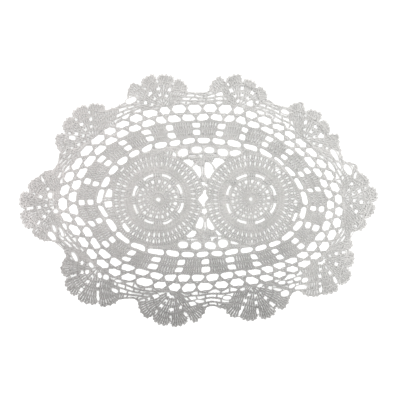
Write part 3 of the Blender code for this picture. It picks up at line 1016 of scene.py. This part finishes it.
def footOf(index, j):
    # where a column of trebles starts: at the hub, or on the net beside it
    centre, _ = hubs[index]
    middle = scallops[index]["walk"]
    knot = j / roundSteps - roundKnots * index
    point = rings[0][j % len(rings[0])]
    outside = max(0, -knot, knot - hubKnots)
    if outside == 0:
        return polar(1.0, bearingOf(point, centre), centre)
    away = walkPast(locate(point)[0], middle) * min(1, outside * 0.8)
    walk = (middle + away) % roundLength
    return place(walk, netUnder(walk) + mat["netTop"])


def clearRuns(points, gaps):
    # the stretches of a line that are outside the openings
    runs = [[]]
    for point in points:
        if inGap(*point, gaps):
            runs.append([])
        else:
            runs[-1].append(point)
    return [run for run in runs if len(run) > 2]


def layBroken(threads, foot, head, width, footWidth, gaps):
    # a treble that stops at an opening and goes on behind it
    count = max(3, round(dist(foot, head) / 0.5))
    line = [between(foot, head, k / count) for k in range(count + 1)]
    for run in clearRuns(line, gaps):
        if dist(run[0], run[-1]) > 1.4:
            layPost(threads, run[0], run[-1], width, footWidth, False, gaps)


def layTwist(threads, points, width, gaps=()):
    # a strand of two threads that turn round each other along a line
    path = smoothPath(points, False, 1)
    steps = max(2, round(path["total"] / 1.9))
    middle = layer(0.5)
    for side in (-1, 1):
        laid = []
        for k in range(steps + 1):
            x, y, nx, ny = alongPath(path, path["total"] * k / steps)
            off = side * (width - yarn["thickness"]) / 2 * (0.75 + 0.25 * cos(pi * k))
            rise = side * yarn["turnRise"] * sin(k * 1.6)
            laid.append((x + nx * off, y + ny * off, middle + rise))
        layThread(threads, laid, False, gaps)


def columnEnds(level, j, feet):
    # where a treble of a round begins and ends, and how far the rim is
    size = len(rings[0])
    foot = rings[level - 1][j % size] if level else feet[j]
    if level < len(rings):
        return foot, rings[level][j % size], 0
    bearing = bearingOf(foot, feet[j])
    far = rayLength(rim, foot, bearing)
    if far is None:
        return None
    fan = far - edging["fanDepth"] + 1.0
    return foot, polar(fan if fan > 2 else far, bearing, foot), far


def withinRim(start, end):
    # the end of a treble, drawn back to the rim where it would pass it
    bearing = bearingOf(end, start)
    far = rayLength(rim, start, bearing) or 0
    return polar(min(far, dist(start, end)), bearing, start)


def layColumns(threads, index):
    # trebles from each round to the next, close round the hub and spread over the valleys
    first = roundSteps * (roundKnots * index - 3)
    columns = range(first, first + roundSteps * roundKnots)
    feet = {j: footOf(index, j) for j in columns}
    for level in range(len(rings) + 1):
        run, last, before = 0.0, None, True
        for j in columns:
            ends = columnEnds(level, j, feet)
            if ends is None:
                continue
            foot, head, far = ends
            middle = between(foot, head, 0.5)
            away = abs(walkPast(locate(middle)[0], scallops[index]["walk"]))
            close = away < edging["closeReach"][level] or far > edging["fanDepth"] + 1
            if before and not close and level % 2:
                run += edging["tiePitch"] / 2
            before = close
            pitch = edging["postPitch" if close else "tiePitch"]
            gap = dist(middle, last[2]) if last else 0
            done = 0.0
            while last and run + gap - done >= pitch and gap > 0:
                done += pitch - run
                run = 0.0
                f = done / gap
                start, end = between(last[0], foot, f), between(last[1], head, f)
                end = withinRim(start, end) if far else end
                if 1.8 < dist(start, end) < edging["longest" if close else "longestTie"]:
                    layBroken(threads, start, end, edging["width" if close else "strand"],
                              edging["hubWidth" if close and level == 0 else "footWidth"],
                              openings + holes if close else openings)
            run += gap - done
            last = (foot, head, middle)


def layFans(threads, index):
    # the fan at the end of each lobe, with small loops on its edge
    row = scallops[index]
    centre, facing = hubs[index]
    step = edge["lobePitch"]

    def edgeAt(bearing):
        return rayLength(outline, centre, bearing) - 1.0

    def footAt(bearing):
        last = rayLength(rings[-1], centre, bearing)
        return last and max(last, edgeAt(bearing) - edging["fanDepth"])

    for lobe in range(edge["lobes"]):
        axis = facing + row["lean"] + step * (lobe - 2)
        for k in range(edging["fanStitches"]):
            turn = step * 0.96 * ((k + 0.5) / edging["fanStitches"] - 0.5)
            foot, far = footAt(axis + turn * 0.85), edgeAt(axis + turn)
            head = polar(far, axis + turn, centre)
            if foot and far - foot > 2.2 and nearDip(head, index) > 3:
                layBroken(threads, polar(foot, axis + turn * 0.85, centre), head,
                          edging["fanWidth"], edging["footWidth"], openings + holes)
        for turn in edging["picots"]:
            middle = polar(edgeAt(axis + turn) - 0.1, axis + turn, centre)
            if nearDip(middle, index) > 3:
                loop = [(*polar(1.0, 72 * k, middle), yarn["highHeight"] - 0.3)
                        for k in range(5)]
                layThread(threads, loop, True)
        line = []
        for turn in (-15, -7.5, 0, 7.5, 15):
            foot = footAt(axis + turn)
            if foot and foot < edgeAt(axis + turn) - 3 and nearDip(
                    polar(foot, axis + turn, centre), index) > 6:
                line.append(polar(foot, axis + turn, centre))
        if len(line) > 2:
            layLine(threads, line, openings)


def layRing(threads, ring, index, radius, width):
    # a chain over the valleys, and one thread over the trebles of a scallop
    part = ringPart(ring, index)
    centre, _ = hubs[index]
    if radius:
        inside = [dist(point, centre) < radius + 1.5 for point in part]
    else:
        inside = [nearDip(point, index) > edging["rimChain"] for point in part]
    first = inside.index(True)
    last = len(inside) - inside[::-1].index(True)
    for run in clearRuns(part[first:last], openings):
        layLine(threads, run, openings)
    for stretch in (part[:first + 1], part[last - 1:]):
        for run in clearRuns(stretch, openings):
            layTwist(threads, run, width, gaps=openings)


def layRims(threads, index):
    # a thread round each larger opening beside a scallop
    for gap in openings[:len(sideRows) + len(pulledRows)]:
        point = gap[:2]
        nearest = min(range(len(hubs)), key=lambda k: dist(hubs[k][0], point))
        if nearest == index and riseAt(point)[1] - mat["netTop"] > 2:
            layThread(threads, [(x, y, yarn["highHeight"] - 0.4)
                                for x, y in ovalLine(gap, yarn["thickness"] * 0.6, 18)], True)


def makeEdging(name, members):
    threads = []
    for index in members:
        layRims(threads, index)
        for ring, radius in zip(rings, edging["ringRadii"]):
            layRing(threads, ring, index, radius, edging["strand"])
        layRing(threads, rim, index, None, edging["strand"])
        layColumns(threads, index)
        layFans(threads, index)
    makePiece(name, threads)


print("net and blocks")
makeNet()
makeBlocks()
makeRow()
print("round centres")
makeCentre(-1, "leftCentre")
makeCentre(1, "rightCentre")
makeWaist()
print("scallops")
for name, members in edging["pieces"]:
    makeEdging(name, members)


# Floor, light and camera
setting = {
    "floorHalf": 3.0, "floorColor": (0.93, 0.93, 0.925), "skyStrength": 1.35, "keyPower": 9.0,
    "cameraX": 0.00207, "cameraY": 0.00021, "cameraHeight": 1.6, "frameWidth": 0.4456,
}


def makeSetting():
    mesh = bpy.data.meshes.new("floor")
    bm = bmesh.new()
    bmesh.ops.create_grid(bm, x_segments=1, y_segments=1, size=setting["floorHalf"])
    bm.to_mesh(mesh)
    bm.free()
    floor = addToScene("floor", mesh)
    material, shader = newMaterial("paleFloor", 0.8)
    shader.inputs["Base Color"].default_value = (*setting["floorColor"], 1)
    mesh.materials.append(material)
    world = bpy.data.worlds.new("studio")
    bpy.context.scene.world = world
    world.use_nodes = True
    sky = world.node_tree.nodes["Background"]
    sky.inputs["Color"].default_value = (1, 1, 1, 1)
    sky.inputs["Strength"].default_value = setting["skyStrength"]
    lamp = bpy.data.lights.new("key", "AREA")
    lamp.energy = setting["keyPower"]
    lamp.size = 0.8
    key = addToScene("key", lamp)
    key.location = (0.5, 0.6, 1.1)
    key.rotation_euler = Vector(key.location).to_track_quat("Z", "Y").to_euler()
    lens = bpy.data.cameras.new("camera")
    lens.sensor_width = 36
    lens.lens = 36 * setting["cameraHeight"] / setting["frameWidth"]
    lens.clip_end = 20
    camera = addToScene("camera", lens)
    camera.location = (setting["cameraX"], setting["cameraY"], setting["cameraHeight"])
    bpy.context.scene.camera = camera
    bpy.context.scene.view_settings.view_transform = "Standard"


makeSetting()
